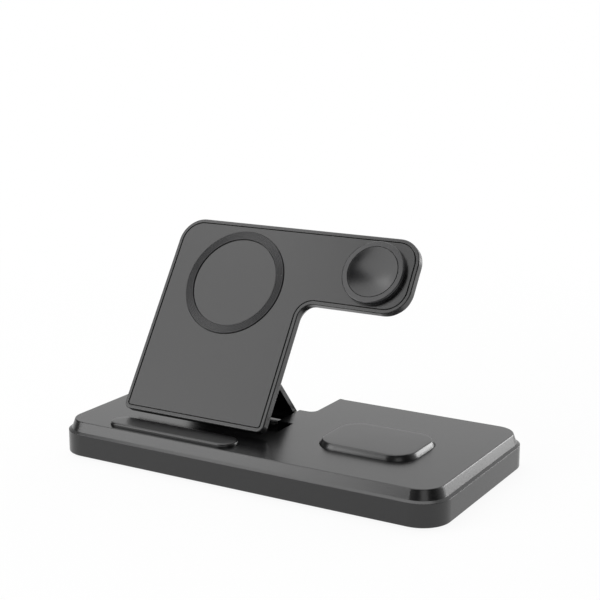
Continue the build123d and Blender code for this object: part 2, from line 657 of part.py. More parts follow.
# Front lid of the panel, flush in its rim, with a hole for the puck and a seat for the grip ring
with BuildPart() as panel_front_lid:
    with BuildSketch(PANEL.offset(LID_BACK)):
        add(panel_sketch(RIM_W + LID_GAP))
        with Locations((PUCK_X, PUCK_Y)):
            Circle(PUCK_BODY_D / 2 + PUCK_GAP, mode=Mode.SUBTRACT)
    extrude(amount=LID_T)
    fillet(panel_front_lid.edges().group_by(FACE_AXIS)[-1], LID_EDGE_R)
    with BuildSketch(PANEL.offset(PANEL_T)):
        with Locations((0, PANEL_COIL_Y)):
            Circle(GRIP_R + SEAT_GAP)
            Circle(GRIP_HOLE_R - SEAT_GAP, mode=Mode.SUBTRACT)
    extrude(amount=-GRIP_SEAT, mode=Mode.SUBTRACT)
    with BuildSketch(PANEL.offset(PANEL_WALL + SMALL_HEAD_T + CLOSE)):
        with Locations(*PANEL_SCREWS):
            Circle(SMALL_HEAD_R + SEAT_GAP)
            Circle(SMALL_SCREW_R + SCREW_FIT, mode=Mode.SUBTRACT)
    extrude(amount=LID_BACK - PANEL_WALL - SMALL_HEAD_T)
save(panel_front_lid, "panel_front_lid")

SMALL_SEAT = SMALL_HEAD_T + 2 * SEAT_GAP
with BuildPart() as panel_screws:
    with BuildSketch(PANEL.offset(SMALL_SEAT - SMALL_HEAD_T)):
        with Locations(*PANEL_SCREWS):
            Circle(SMALL_HEAD_R)
    extrude(amount=SMALL_HEAD_T)
    with BuildSketch(PANEL.offset(SMALL_SEAT)):
        with Locations(*PANEL_SCREWS):
            Circle(SMALL_SCREW_R)
    extrude(amount=LID_BACK - SMALL_SEAT - SEAT_GAP)
save(panel_screws, "panel_screws")

# Pin and washers of the hinge at the strut's tip
with BuildPart() as panel_hinge_pin:
    with BuildSketch(panel_side(0)):
        with Locations((HINGE_UP, -HINGE_DROP)):
            Circle(PIN_R)
    extrude(amount=KNUCKLE_MID + KNUCKLE_W / 2 - SEAT_GAP, both=True)
save(panel_hinge_pin, "panel_hinge_pin")

with BuildPart() as panel_hinge_washers:
    for side in (-1, 1):
        with BuildSketch(panel_side(side * (TIP_BARREL_W / 2 + WASHER_GAP + WASHER_T / 2))):
            with Locations((HINGE_UP, -HINGE_DROP)):
                Circle(BARREL_R - SEAT_GAP)
                Circle(PIN_R + PIN_FIT, mode=Mode.SUBTRACT)
        extrude(amount=WASHER_T / 2, both=True)
save(panel_hinge_washers, "panel_hinge_washers")

# Coil stack behind the panel's face: coil on the lid, ferrite, and a foam cushion on the back wall
COIL_FLOOR = LID_BACK - CLOSE - COIL_T
FERRITE_FLOOR = COIL_FLOOR - CLOSE - FERRITE_T
with BuildPart() as panel_coil:
    with BuildSketch(PANEL.offset(COIL_FLOOR)):
        with Locations((0, PANEL_COIL_Y)):
            Circle(PANEL_COIL_R)
            Circle(PANEL_COIL_HOLE_R, mode=Mode.SUBTRACT)
    extrude(amount=COIL_T)
save(panel_coil, "panel_coil")

with BuildPart() as panel_ferrite:
    with BuildSketch(PANEL.offset(FERRITE_FLOOR)):
        with Locations((0, PANEL_COIL_Y)):
            RectangleRounded(2 * (PANEL_COIL_R + FERRITE_RIM), 2 * (PANEL_COIL_R + FERRITE_RIM), POST_R)
    extrude(amount=FERRITE_T)
save(panel_ferrite, "panel_ferrite")

with BuildPart() as coil_cushion:
    with BuildSketch(PANEL.offset(PANEL_WALL + CLOSE)):
        with Locations((0, PANEL_COIL_Y)):
            RectangleRounded(CUSHION_W, CUSHION_W, 2 * POST_R)
    extrude(amount=FERRITE_FLOOR - PANEL_WALL - 2 * CLOSE)
save(coil_cushion, "coil_cushion")

# Board in the panel's foot
with BuildPart() as panel_board:
    with BuildSketch(PANEL.offset(PANEL_WALL + CLOSE)):
        with Locations((0, PANEL_BOARD_UP)):
            RectangleRounded(PANEL_BOARD_L, PANEL_BOARD_W, POST_R)
    extrude(amount=PANEL_BOARD_T)
save(panel_board, "panel_board")

with BuildPart() as panel_chips:
    for x, y, length, width, height in PANEL_CHIPS:
        with BuildSketch(PANEL.offset(PANEL_WALL + CLOSE + PANEL_BOARD_T)):
            with Locations((x, PANEL_BOARD_UP + y)):
                Rectangle(length, width)
        extrude(amount=height)
save(panel_chips, "panel_chips")

# Soft ring on the panel's face
with BuildPart() as grip_ring:
    with BuildSketch(PANEL.offset(PANEL_T - GRIP_SEAT)):
        with Locations((0, PANEL_COIL_Y)):
            Circle(GRIP_R)
            Circle(GRIP_HOLE_R, mode=Mode.SUBTRACT)
    extrude(amount=GRIP_SEAT + GRIP_PROUD)
    fillet(grip_ring.edges().group_by(FACE_AXIS)[-1], GRIP_ROUND)
save(grip_ring, "grip_ring")

# Puck on the arm: a cup through the lid, with its board, ferrite, coil, magnet and dished face
PUCK_FLOOR = PANEL_WALL + CLOSE
PUCK_TOP = PANEL_T + PUCK_PROUD
PUCK_IN_R = PUCK_BODY_D / 2 - PUCK_WALL
PUCK_FILL_R = PUCK_IN_R - SEAT_GAP
PUCK_BOARD_FLOOR = PUCK_FLOOR + PUCK_WALL + CLOSE
PUCK_FERRITE_FLOOR = PUCK_BOARD_FLOOR + PANEL_BOARD_T + CLOSE
PUCK_COIL_FLOOR = PUCK_FERRITE_FLOOR + FERRITE_T + CLOSE
PUCK_FACE_FLOOR = PUCK_TOP - PUCK_FACE_T
PUCK_COIL_T = PUCK_FACE_FLOOR - CLOSE - PUCK_COIL_FLOOR
with BuildPart() as puck_cup:
    with BuildSketch(PANEL.offset(PUCK_FLOOR)):
        with Locations((PUCK_X, PUCK_Y)):
            Circle(PUCK_BODY_D / 2)
    extrude(amount=PUCK_TOP - PUCK_FLOOR)
    with BuildSketch(PANEL.offset(PANEL_T + CLOSE)):
        with Locations((PUCK_X, PUCK_Y)):
            Circle(PUCK_D / 2)
    extrude(amount=PUCK_PROUD - CLOSE)
    fillet(puck_cup.faces().sort_by(FACE_AXIS)[-1].edges(), PUCK_WALL / 2)
    with BuildSketch(PANEL.offset(PUCK_FLOOR + PUCK_WALL)):
        with Locations((PUCK_X, PUCK_Y)):
            Circle(PUCK_IN_R)
    extrude(amount=PUCK_TOP, mode=Mode.SUBTRACT)
save(puck_cup, "puck_cup")


def puck_disc(floor, height, radius, hole=0.0):
    """Round layer of the puck, with an optional hole in its middle."""
    with BuildPart() as disc:
        with BuildSketch(PANEL.offset(floor)):
            with Locations((PUCK_X, PUCK_Y)):
                Circle(radius)
                if hole:
                    Circle(hole, mode=Mode.SUBTRACT)
        extrude(amount=height)
    return disc


save(puck_disc(PUCK_BOARD_FLOOR, PANEL_BOARD_T, PUCK_FILL_R), "puck_board")
save(puck_disc(PUCK_FERRITE_FLOOR, FERRITE_T, PUCK_FILL_R), "puck_ferrite")
save(puck_disc(PUCK_COIL_FLOOR, PUCK_COIL_T, PUCK_FILL_R - SEAT_GAP, PUCK_MAGNET_R + PUCK_WALL), "puck_coil")
save(puck_disc(PUCK_COIL_FLOOR, PUCK_COIL_T, PUCK_MAGNET_R), "puck_magnet")

# dished face of the puck: a disc with a shallow round hollow
DISH_R = (PUCK_FILL_R ** 2 + PUCK_DISH ** 2) / (2 * PUCK_DISH)
with BuildPart() as puck_face:
    with BuildSketch(PANEL.offset(PUCK_FACE_FLOOR)):
        with Locations((PUCK_X, PUCK_Y)):
            Circle(PUCK_FILL_R)
    extrude(amount=PUCK_FACE_T)
    with Locations(PANEL.offset(PUCK_TOP + DISH_R - PUCK_DISH) * Location((PUCK_X, PUCK_Y, 0), (90, 0, 0))):
        Sphere(DISH_R, mode=Mode.SUBTRACT)
save(puck_face, "puck_face")
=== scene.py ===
from math import atan2, cos, pi, radians, sin, tan

import bmesh
import bpy
from mathutils import Matrix, Vector


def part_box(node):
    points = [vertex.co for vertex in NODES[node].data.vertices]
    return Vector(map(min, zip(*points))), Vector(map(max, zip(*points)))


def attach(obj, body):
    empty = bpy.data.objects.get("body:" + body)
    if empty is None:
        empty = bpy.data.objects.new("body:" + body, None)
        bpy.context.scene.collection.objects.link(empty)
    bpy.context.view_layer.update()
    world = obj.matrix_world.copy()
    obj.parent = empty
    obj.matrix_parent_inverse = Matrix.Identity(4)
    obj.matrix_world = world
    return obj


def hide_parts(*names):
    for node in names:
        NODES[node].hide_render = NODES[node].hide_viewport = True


# Looks of a folding charging stand: satin black mouldings, soft black pads, small metal parts.
# Metres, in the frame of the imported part: X along the base, Y to the rear, Z up.

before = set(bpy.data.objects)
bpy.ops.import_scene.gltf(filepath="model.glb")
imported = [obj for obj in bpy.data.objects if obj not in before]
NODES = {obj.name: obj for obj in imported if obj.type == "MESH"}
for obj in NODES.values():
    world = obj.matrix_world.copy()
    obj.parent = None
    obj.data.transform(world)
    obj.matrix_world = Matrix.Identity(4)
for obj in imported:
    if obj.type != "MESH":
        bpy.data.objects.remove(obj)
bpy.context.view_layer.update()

MM = 0.001

# Camera, solved from the edges of the base
CAMERA_PLACE = (0.27633, -0.46241, 0.19096)
CAMERA_YAW = 0.5314
CAMERA_PITCH = -0.2258
CAMERA_LENS = 82.16
SENSOR = 36.0


def middle(node):
    """Centre of a node's box."""
    low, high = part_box(node)
    return (low + high) / 2


# Shared effects, each a node group that is placed in several materials

def new_group(name, inputs, outputs):
    """Empty shader node group with number inputs (name, default) and outputs (name, socket type)."""
    tree = bpy.data.node_groups.new(name, "ShaderNodeTree")
    for label, value in inputs:
        socket = tree.interface.new_socket(name=label, in_out="INPUT", socket_type="NodeSocketFloat")
        socket.default_value = value
    for label, kind in outputs:
        tree.interface.new_socket(name=label, in_out="OUTPUT", socket_type=kind)
    return tree, tree.nodes.new("NodeGroupInput"), tree.nodes.new("NodeGroupOutput")


def add_node(tree, kind, **settings):
    """Node of a kind, with its settings."""
    node = tree.nodes.new(kind)
    for key, value in settings.items():
        setattr(node, key, value)
    return node


def set_inputs(node, **values):
    """Values of a node's inputs, by name, with underscores for spaces."""
    for key, value in values.items():
        node.inputs[key.replace("_", " ")].default_value = value


def maths(tree, operation, first, second):
    """Maths node on two values or links."""
    node = add_node(tree, "ShaderNodeMath", operation=operation)
    for index, source in enumerate((first, second)):
        if isinstance(source, (int, float)):
            node.inputs[index].default_value = source
        else:
            tree.links.new(source, node.inputs[index])
    return node.outputs[0]


def span(tree, source, low, high, to_low, to_high, smooth=False):
    """Maps a value from one span to another."""
    node = add_node(tree, "ShaderNodeMapRange")
    if smooth:
        node.interpolation_type = "SMOOTHSTEP"
    tree.links.new(source, node.inputs["Value"])
    set_inputs(node, From_Min=low, From_Max=high)
    for label, value in (("To Min", to_low), ("To Max", to_high)):
        if isinstance(value, (int, float)):
            node.inputs[label].default_value = value
        else:
            tree.links.new(value, node.inputs[label])
    return node.outputs["Result"]


def moulded_grain_group():
    """Fine spark-eroded grain of a moulding, as a height."""
    tree, ins, outs = new_group(
        "moulded_grain",
        [("Grain Scale", 5200.0), ("Orange Peel", 0.25)],
        [("Height", "NodeSocketFloat")],
    )
    coord = add_node(tree, "ShaderNodeTexCoord")
    grain = add_node(tree, "ShaderNodeTexNoise")
    set_inputs(grain, Detail=3.0, Roughness=0.65)
    pits = add_node(tree, "ShaderNodeTexVoronoi", feature="SMOOTH_F1")
    peel = add_node(tree, "ShaderNodeTexNoise")
    set_inputs(peel, Scale=420.0, Detail=2.0, Roughness=0.5)
    for texture in (grain, pits, peel):
        tree.links.new(coord.outputs["Object"], texture.inputs["Vector"])
    tree.links.new(ins.outputs["Grain Scale"], grain.inputs["Scale"])
    tree.links.new(ins.outputs["Grain Scale"], pits.inputs["Scale"])
    fine = maths(tree, "ADD", grain.outputs["Fac"], maths(tree, "MULTIPLY", pits.outputs["Distance"], 0.5))
    broad = maths(tree, "MULTIPLY", peel.outputs["Fac"], ins.outputs["Orange Peel"])
    tree.links.new(maths(tree, "ADD", fine, broad), outs.inputs["Height"])
    return tree


def handling_group():
    """Faint cloudy marks that hands leave on a satin surface, as a mask."""
    tree, ins, outs = new_group(
        "handling_marks",
        [("Mark Scale", 45.0), ("Fine Scale", 900.0)],
        [("Mask", "NodeSocketFloat")],
    )
    coord = add_node(tree, "ShaderNodeTexCoord")
    cloud = add_node(tree, "ShaderNodeTexNoise")
    set_inputs(cloud, Detail=4.0, Roughness=0.55, Distortion=0.6)
    fine = add_node(tree, "ShaderNodeTexNoise")
    set_inputs(fine, Detail=2.0, Roughness=0.6)
    for texture, label in ((cloud, "Mark Scale"), (fine, "Fine Scale")):
        tree.links.new(coord.outputs["Object"], texture.inputs["Vector"])
        tree.links.new(ins.outputs[label], texture.inputs["Scale"])
    mixed = maths(tree, "ADD", maths(tree, "MULTIPLY", cloud.outputs["Fac"], 0.75),
                  maths(tree, "MULTIPLY", fine.outputs["Fac"], 0.25))
    tree.links.new(span(tree, mixed, 0.35, 0.68, 0.0, 1.0, smooth=True), outs.inputs["Mask"])
    return tree


def edge_highlight_and_wear_group():
    """Soft edges: a rounded normal, and a mask that is 1 along edges, broken into patches, where the edge is
    painted paler, partly as a painted highlight and partly as rubbed wear.
    """
    tree, ins, outs = new_group(
        "edge_highlight_and_wear",
        [("Edge Width", 0.0004), ("Break Scale", 700.0)],
        [("Mask", "NodeSocketFloat"), ("Normal", "NodeSocketVector")],
    )
    bevel = add_node(tree, "ShaderNodeBevel", samples=6)
    tree.links.new(ins.outputs["Edge Width"], bevel.inputs["Radius"])
    surface = add_node(tree, "ShaderNodeNewGeometry")
    match = add_node(tree, "ShaderNodeVectorMath", operation="DOT_PRODUCT")
    tree.links.new(bevel.outputs["Normal"], match.inputs[0])
    tree.links.new(surface.outputs["Normal"], match.inputs[1])
    edge = span(tree, match.outputs["Value"], 0.999, 0.9, 0.0, 1.0)
    coord = add_node(tree, "ShaderNodeTexCoord")
    breaks = add_node(tree, "ShaderNodeTexNoise")
    set_inputs(breaks, Detail=3.0, Roughness=0.7)
    tree.links.new(coord.outputs["Object"], breaks.inputs["Vector"])
    tree.links.new(ins.outputs["Break Scale"], breaks.inputs["Scale"])
    patch = span(tree, breaks.outputs["Fac"], 0.38, 0.6, 0.25, 1.0)
    # Edge mask: where edges are painted paler, partly a painted highlight and partly rubbed wear.
    tree.links.new(maths(tree, "MULTIPLY", edge, patch), outs.inputs["Mask"])
    tree.links.new(bevel.outputs["Normal"], outs.inputs["Normal"])
    return tree


def dust_group():
    """Sparse pale specks, as a mask."""
    tree, ins, outs = new_group(
        "dust_specks",
        [("Speck Scale", 420.0), ("Speck Size", 0.11)],
        [("Mask", "NodeSocketFloat")],
    )
    coord = add_node(tree, "ShaderNodeTexCoord")
    cells = add_node(tree, "ShaderNodeTexVoronoi", feature="F1")
    tree.links.new(coord.outputs["Object"], cells.inputs["Vector"])
    tree.links.new(ins.outputs["Speck Scale"], cells.inputs["Scale"])
    near = maths(tree, "LESS_THAN", cells.outputs["Distance"], ins.outputs["Speck Size"])
    pick = add_node(tree, "ShaderNodeSeparateColor")
    tree.links.new(cells.outputs["Color"], pick.inputs["Color"])
    few = maths(tree, "GREATER_THAN", pick.outputs["Red"], 0.8)
    tree.links.new(maths(tree, "MULTIPLY", near, few), outs.inputs["Mask"])
    return tree


GRAIN = moulded_grain_group()
HANDLING = handling_group()
EDGE_HIGHLIGHT_AND_WEAR = edge_highlight_and_wear_group()
DUST = dust_group()


def place(tree, group, **values):
    """Group node in a material, with its own values."""
    node = add_node(tree, "ShaderNodeGroup", node_tree=group)
    set_inputs(node, **values)
    return node


def new_material(name):
    """Empty material with its shader."""
    material = bpy.data.materials.new(name)
    material.use_nodes = True
    tree = material.node_tree
    return material, tree, tree.nodes["Principled BSDF"]


def colour_mix(tree, mask, first, second):
    """Colour between two, by a mask. Each is a grey level, a colour or a link."""
    node = add_node(tree, "ShaderNodeMix", data_type="RGBA")
    tree.links.new(mask, node.inputs["Factor"])
    for socket, colour in ((node.inputs[6], first), (node.inputs[7], second)):
        if isinstance(colour, (int, float)):
            socket.default_value = (colour, colour, colour, 1.0)
        elif isinstance(colour, tuple):
            socket.default_value = (*colour, 1.0)
        else:
            tree.links.new(colour, socket)
    return node.outputs[2]


def bump(tree, height, normal, strength, distance):
    """Small relief on a surface."""
    node = add_node(tree, "ShaderNodeBump")
    set_inputs(node, Strength=strength, Distance=distance)
    tree.links.new(height, node.inputs["Height"])
    if normal is not None:
        tree.links.new(normal, node.inputs["Normal"])
    return node.outputs["Normal"]


# Finishes

def satin_moulding(name, tone, edge_highlight_and_wear_tone, gloss, grain_scale, relief, edge):
    """Satin black moulded plastic: fine grain, cloudy handling marks, faint dust, and edges painted paler, partly
    as a painted highlight and partly as rubbed wear.
    """
    material, tree, shader = new_material(name)
    marks = place(tree, HANDLING, Mark_Scale=20.0, Fine_Scale=150.0)
    edges = place(tree, EDGE_HIGHLIGHT_AND_WEAR, Edge_Width=edge, Break_Scale=600.0)
    specks = place(tree, DUST, Speck_Scale=330.0, Speck_Size=0.045)
    grain = place(tree, GRAIN, Grain_Scale=grain_scale, Orange_Peel=0.3)
    clouded = colour_mix(tree, marks.outputs["Mask"], tone, tuple(1.2 * c for c in tone))
    # Edges painted paler: partly a painted highlight, partly rubbed wear.
    highlighted_and_worn = colour_mix(tree, edges.outputs["Mask"], clouded, edge_highlight_and_wear_tone)
    dusty = colour_mix(tree, specks.outputs["Mask"], highlighted_and_worn, 0.03)
    tree.links.new(dusty, shader.inputs["Base Color"])
    rough = span(tree, marks.outputs["Mask"], 0.0, 1.0, gloss[0], gloss[1])
    tree.links.new(rough, shader.inputs["Roughness"])
    normal = bump(tree, grain.outputs["Height"], edges.outputs["Normal"], 1.0, relief)
    tree.links.new(normal, shader.inputs["Normal"])
    set_inputs(shader, IOR=1.57)
    return material


def soft_silicone(name, tone, gloss):
    """Matt black silicone: velvety, with lint and a very fine pebble."""
    material, tree, shader = new_material(name)
    marks = place(tree, HANDLING, Mark_Scale=70.0, Fine_Scale=2200.0)
    specks = place(tree, DUST, Speck_Scale=520.0, Speck_Size=0.09)
    grain = place(tree, GRAIN, Grain_Scale=3600.0, Orange_Peel=0.6)
    edges = place(tree, EDGE_HIGHLIGHT_AND_WEAR, Edge_Width=0.25 * MM, Break_Scale=500.0)
    clouded = colour_mix(tree, marks.outputs["Mask"], tone, tuple(1.35 * c for c in tone))
    dusty = colour_mix(tree, specks.outputs["Mask"], clouded, 0.12)
    tree.links.new(dusty, shader.inputs["Base Color"])
    rough = span(tree, marks.outputs["Mask"], 0.0, 1.0, gloss[0], gloss[1])
    tree.links.new(rough, shader.inputs["Roughness"])
    normal = bump(tree, grain.outputs["Height"], edges.outputs["Normal"], 0.4, 0.00004)
    tree.links.new(normal, shader.inputs["Normal"])
    set_inputs(shader, IOR=1.42, Sheen_Weight=0.08, Sheen_Roughness=0.4)
    return material


def polished_plastic(name, tone, gloss):
    """Smooth black plastic with faint hairlines."""
    material, tree, shader = new_material(name)
    marks = place(tree, HANDLING, Mark_Scale=90.0, Fine_Scale=1600.0)
    edges = place(tree, EDGE_HIGHLIGHT_AND_WEAR, Edge_Width=0.3 * MM, Break_Scale=900.0)
    grain = place(tree, GRAIN, Grain_Scale=2400.0, Orange_Peel=1.0)
    clouded = colour_mix(tree, marks.outputs["Mask"], tone, tuple(1.3 * c for c in tone))
    tree.links.new(clouded, shader.inputs["Base Color"])
    rough = span(tree, marks.outputs["Mask"], 0.0, 1.0, gloss[0], gloss[1])
    tree.links.new(rough, shader.inputs["Roughness"])
    normal = bump(tree, grain.outputs["Height"], edges.outputs["Normal"], 0.12, 0.00001)
    tree.links.new(normal, shader.inputs["Normal"])
    set_inputs(shader, IOR=1.52)
    return material


def bright_metal(name, tone, dull, gloss):
    """Metal with drawn lines and a cloudy tarnish."""
    material, tree, shader = new_material(name)
    coord = add_node(tree, "ShaderNodeTexCoord")
    stretch = add_node(tree, "ShaderNodeMapping")
    stretch.inputs["Scale"].default_value = (60.0, 4200.0, 4200.0)
    tree.links.new(coord.outputs["Object"], stretch.inputs["Vector"])
    lines = add_node(tree, "ShaderNodeTexNoise")
    set_inputs(lines, Scale=1.0, Detail=3.0)
    tree.links.new(stretch.outputs["Vector"], lines.inputs["Vector"])
    marks = place(tree, HANDLING, Mark_Scale=240.0, Fine_Scale=3000.0)
    edges = place(tree, EDGE_HIGHLIGHT_AND_WEAR, Edge_Width=0.15 * MM, Break_Scale=1500.0)
    tree.links.new(colour_mix(tree, marks.outputs["Mask"], tone, dull), shader.inputs["Base Color"])
    rough = span(tree, lines.outputs["Fac"], 0.3, 0.7, gloss[0], gloss[1])
    tree.links.new(rough, shader.inputs["Roughness"])
    normal = bump(tree, lines.outputs["Fac"], edges.outputs["Normal"], 0.15, 0.00001)
    tree.links.new(normal, shader.inputs["Normal"])
    set_inputs(shader, Metallic=1.0)
    return material


def wound_wire(name, node, pitch):
    """Enamelled wire wound round a node's middle: rings of copper, with painted shade in the gaps between the
    turns.
    """
    material, tree, shader = new_material(name)
    coord = add_node(tree, "ShaderNodeTexCoord")
    away = add_node(tree, "ShaderNodeVectorMath", operation="DISTANCE")
    tree.links.new(coord.outputs["Object"], away.inputs[0])
    away.inputs[1].default_value = middle(node)
    turns = maths(tree, "SINE", maths(tree, "MULTIPLY", away.outputs["Value"], 2 * pi / pitch), 0.0)
    marks = place(tree, HANDLING, Mark_Scale=120.0, Fine_Scale=2500.0)
    copper = colour_mix(tree, marks.outputs["Mask"], (0.62, 0.25, 0.11), (0.5, 0.18, 0.07))
    # Painted shade: dark copper colour in the gaps between the turns.
    painted_gap_shade = span(tree, turns, -1.0, -0.3, 0.0, 1.0)
    tree.links.new(colour_mix(tree, painted_gap_shade, (0.06, 0.02, 0.01), copper), shader.inputs["Base Color"])
    rough = span(tree, marks.outputs["Mask"], 0.0, 1.0, 0.29, 0.4)
    tree.links.new(rough, shader.inputs["Roughness"])
    tree.links.new(bump(tree, turns, None, 0.6, 0.0001), shader.inputs["Normal"])
    set_inputs(shader, Metallic=0.8)
    return material


def lacquered_board(name):
    """Green lacquered circuit board with raised tracks."""
    material, tree, shader = new_material(name)
    coord = add_node(tree, "ShaderNodeTexCoord")
    tracks = add_node(tree, "ShaderNodeTexVoronoi", distance="CHEBYCHEV", feature="F1")
    set_inputs(tracks, Scale=380.0)
    tree.links.new(coord.outputs["Object"], tracks.inputs["Vector"])
    raised = span(tree, tracks.outputs["Distance"], 0.3, 0.36, 0.0, 1.0)
    marks = place(tree, HANDLING, Mark_Scale=200.0, Fine_Scale=2500.0)
    tree.links.new(colour_mix(tree, raised, (0.012, 0.09, 0.04), (0.02, 0.16, 0.07)),
                   shader.inputs["Base Color"])
    tree.links.new(span(tree, marks.outputs["Mask"], 0.0, 1.0, 0.29, 0.4), shader.inputs["Roughness"])
    tree.links.new(bump(tree, raised, None, 0.4, 0.00003), shader.inputs["Normal"])
    return material


def rough_solid(name, tone, pale, gloss, scale, relief, metal=0.0):
    """Grainy solid such as sintered ferrite, foam or chip resin."""
    material, tree, shader = new_material(name)
    marks = place(tree, HANDLING, Mark_Scale=scale / 10, Fine_Scale=scale)
    grain = place(tree, GRAIN, Grain_Scale=scale, Orange_Peel=0.4)
    tree.links.new(colour_mix(tree, marks.outputs["Mask"], tone, pale), shader.inputs["Base Color"])
    rough = span(tree, marks.outputs["Mask"], 0.0, 1.0, gloss[0], gloss[1])
    tree.links.new(rough, shader.inputs["Roughness"])
    tree.links.new(bump(tree, grain.outputs["Height"], None, 0.5, relief), shader.inputs["Normal"])
    set_inputs(shader, Metallic=metal)
    return material


BLACK = (0.006, 0.006, 0.0063)
# Paler tone of the edges: partly a painted highlight, partly rubbed wear.
PAINTED_EDGE_HIGHLIGHT_AND_WEAR = (0.014, 0.014, 0.0145)
FINE = 0.000001

# Satin mouldings: roughness (clean, handled), scale of the grain and width of the soft edge and of its painted
# highlight
SATIN = {
    "base_shell": ("base_shell_black", (0.24, 0.255), 9000.0, 0.25 * MM),
    "base_cove": ("base_cove_black", (0.24, 0.255), 9000.0, 0.04 * MM),
    "base_cover": ("base_cover_black", (0.25, 0.265), 9500.0, 0.2 * MM),
    "panel_shell": ("panel_shell_black", (0.254, 0.268), 9000.0, 0.25 * MM),
    "panel_lid": ("panel_lid_black", (0.28, 0.295), 9800.0, 0.15 * MM),
    "strut": ("strut_black", (0.28, 0.3), 8500.0, 0.15 * MM),
    "bar": ("rest_bar_black", (0.28, 0.3), 8000.0, 0.2 * MM),
    "pad": ("tray_pad_black", (0.28, 0.295), 8000.0, 0.2 * MM),
}

FINISHES = {
    key: satin_moulding(name, BLACK, PAINTED_EDGE_HIGHLIGHT_AND_WEAR, gloss, grain_scale, FINE, edge)
    for key, (name, gloss, grain_scale, edge) in SATIN.items()
}
FINISHES |= {
    "silicone": soft_silicone("ring_silicone", (0.02, 0.02, 0.021), (0.4, 0.5)),
    "feet": soft_silicone("foot_rubber", (0.024, 0.024, 0.024), (0.55, 0.7)),
    "puck": polished_plastic("puck_black", (0.018, 0.018, 0.019), (0.16, 0.24)),
    "puck_face": polished_plastic("puck_face_black", (0.008, 0.008, 0.0085), (0.16, 0.2)),
    "steel": bright_metal("plain_steel", (0.56, 0.56, 0.57), (0.42, 0.42, 0.43), (0.29, 0.42)),
    "magnet": bright_metal("nickel_magnet", (0.62, 0.6, 0.57), (0.5, 0.48, 0.46), (0.15, 0.26)),
    "weight": bright_metal("plated_weight", (0.4, 0.4, 0.4), (0.28, 0.27, 0.26), (0.35, 0.5)),
    "gold": bright_metal("gold_contact", (0.83, 0.6, 0.24), (0.68, 0.47, 0.18), (0.18, 0.26)),
    "nylon": rough_solid("washer_nylon", (0.55, 0.53, 0.48), (0.62, 0.6, 0.55), (0.4, 0.55),
                         2500.0, 0.00002),
    "resin": rough_solid("chip_resin", (0.018, 0.018, 0.02), (0.03, 0.03, 0.032), (0.45, 0.6),
                         3500.0, 0.00002),
    "ferrite": rough_solid("sintered_ferrite", (0.045, 0.045, 0.05), (0.075, 0.072, 0.07), (0.5, 0.7),
                           2600.0, 0.00005),
    "foam": rough_solid("cushion_foam", (0.05, 0.05, 0.054), (0.08, 0.08, 0.085), (0.8, 0.95),
                        1800.0, 0.0002),
    "lead": rough_solid("lead_cover", (0.11, 0.016, 0.014), (0.15, 0.024, 0.02), (0.35, 0.5),
                        2400.0, 0.00002),
    "board": lacquered_board("board_green"),
    "pad_wire": wound_wire("pad_wire", "pad_coil", 0.9 * MM),
    "panel_wire": wound_wire("panel_wire", "panel_coil", 0.9 * MM),
    "puck_wire": wound_wire("puck_wire", "puck_coil", 0.6 * MM),
}

FINISH_OF = {
    "base_lower_shell": "base_shell",
    "base_top_cover": "base_cover",
    "panel_back_shell": "panel_shell",
    "panel_front_lid": "panel_lid",
    "strut_plate": "strut",
    "rest_bar": "bar",
    "tray_pad": "pad",
    "grip_ring": "silicone",
    "rubber_feet": "feet",
    "puck_cup": "puck",
    "puck_face": "puck_face",
    "base_screws": "steel",
    "panel_screws": "steel",
    "base_hinge_pin": "steel",
    "panel_hinge_pin": "steel",
    "inlet_shell": "steel",
    "base_hinge_washers": "nylon",
    "panel_hinge_washers": "nylon",
    "inlet_tongue": "resin",
    "board_chips": "resin",
    "panel_chips": "resin",
    "main_board": "board",
    "inlet_board": "board",
    "panel_board": "board",
    "puck_board": "board",
    "inlet_leads": "lead",
    "pad_coil": "pad_wire",
    "panel_coil": "panel_wire",
    "puck_coil": "puck_wire",
    "pad_ferrite": "ferrite",
    "panel_ferrite": "ferrite",
    "puck_ferrite": "ferrite",
    "coil_cushion": "foam",
    "puck_magnet": "magnet",
    "ballast_plate": "weight",
}

for node_name, finish in FINISH_OF.items():
    slots = NODES[node_name].data.materials
    slots.clear()
    slots.append(FINISHES[finish])


# Detailed pieces, in metres, where the part has their solids

BASE_L, BASE_W, BASE_R = 174.0 * MM, 88.6 * MM, 11.9 * MM
TOP_Z, SPLIT_Z = 14.7 * MM, 10.2 * MM

# Rest bar and tray pad: middle, size, slope of the side (inset, height), round of the top edge
SEAT_DEPTH = 0.75 * MM
CROWN = 0.12 * MM
CROWN_STEPS = 9
BAR_X, BAR_Y = -34.85 * MM, -34.1 * MM
BAR_L, BAR_W = 60.3 * MM, 10.8 * MM
BAR_SIDE, BAR_ROUND = (0.05 * MM, 1.48 * MM), 0.8 * MM
PAD_X, PAD_Y = 42.2 * MM, -4.0 * MM
PAD_L, PAD_W, PAD_R = 42.4 * MM, 32.0 * MM, 10.0 * MM
PAD_SIDE, PAD_ROUND = (1.2 * MM, 2.18 * MM), 0.7 * MM

# Grip ring on the panel: place up the panel and out from it, section, ridges
RING_UP, RING_OUT = 61.0 * MM, 7.5 * MM
RING_INNER, RING_OUTER = 19.5 * MM, 23.0 * MM
RING_LOW, RING_HIGH = -0.45 * MM, 0.5 * MM
RING_SHOULDER, SHOULDER_STEPS = 0.28 * MM, 4
RIDGES, RIDGE_STEPS = 4, 6
RIDGE_DEPTH, RIDGE_MARGIN = 0.14 * MM, 0.45 * MM
RING_SEGMENTS = 160

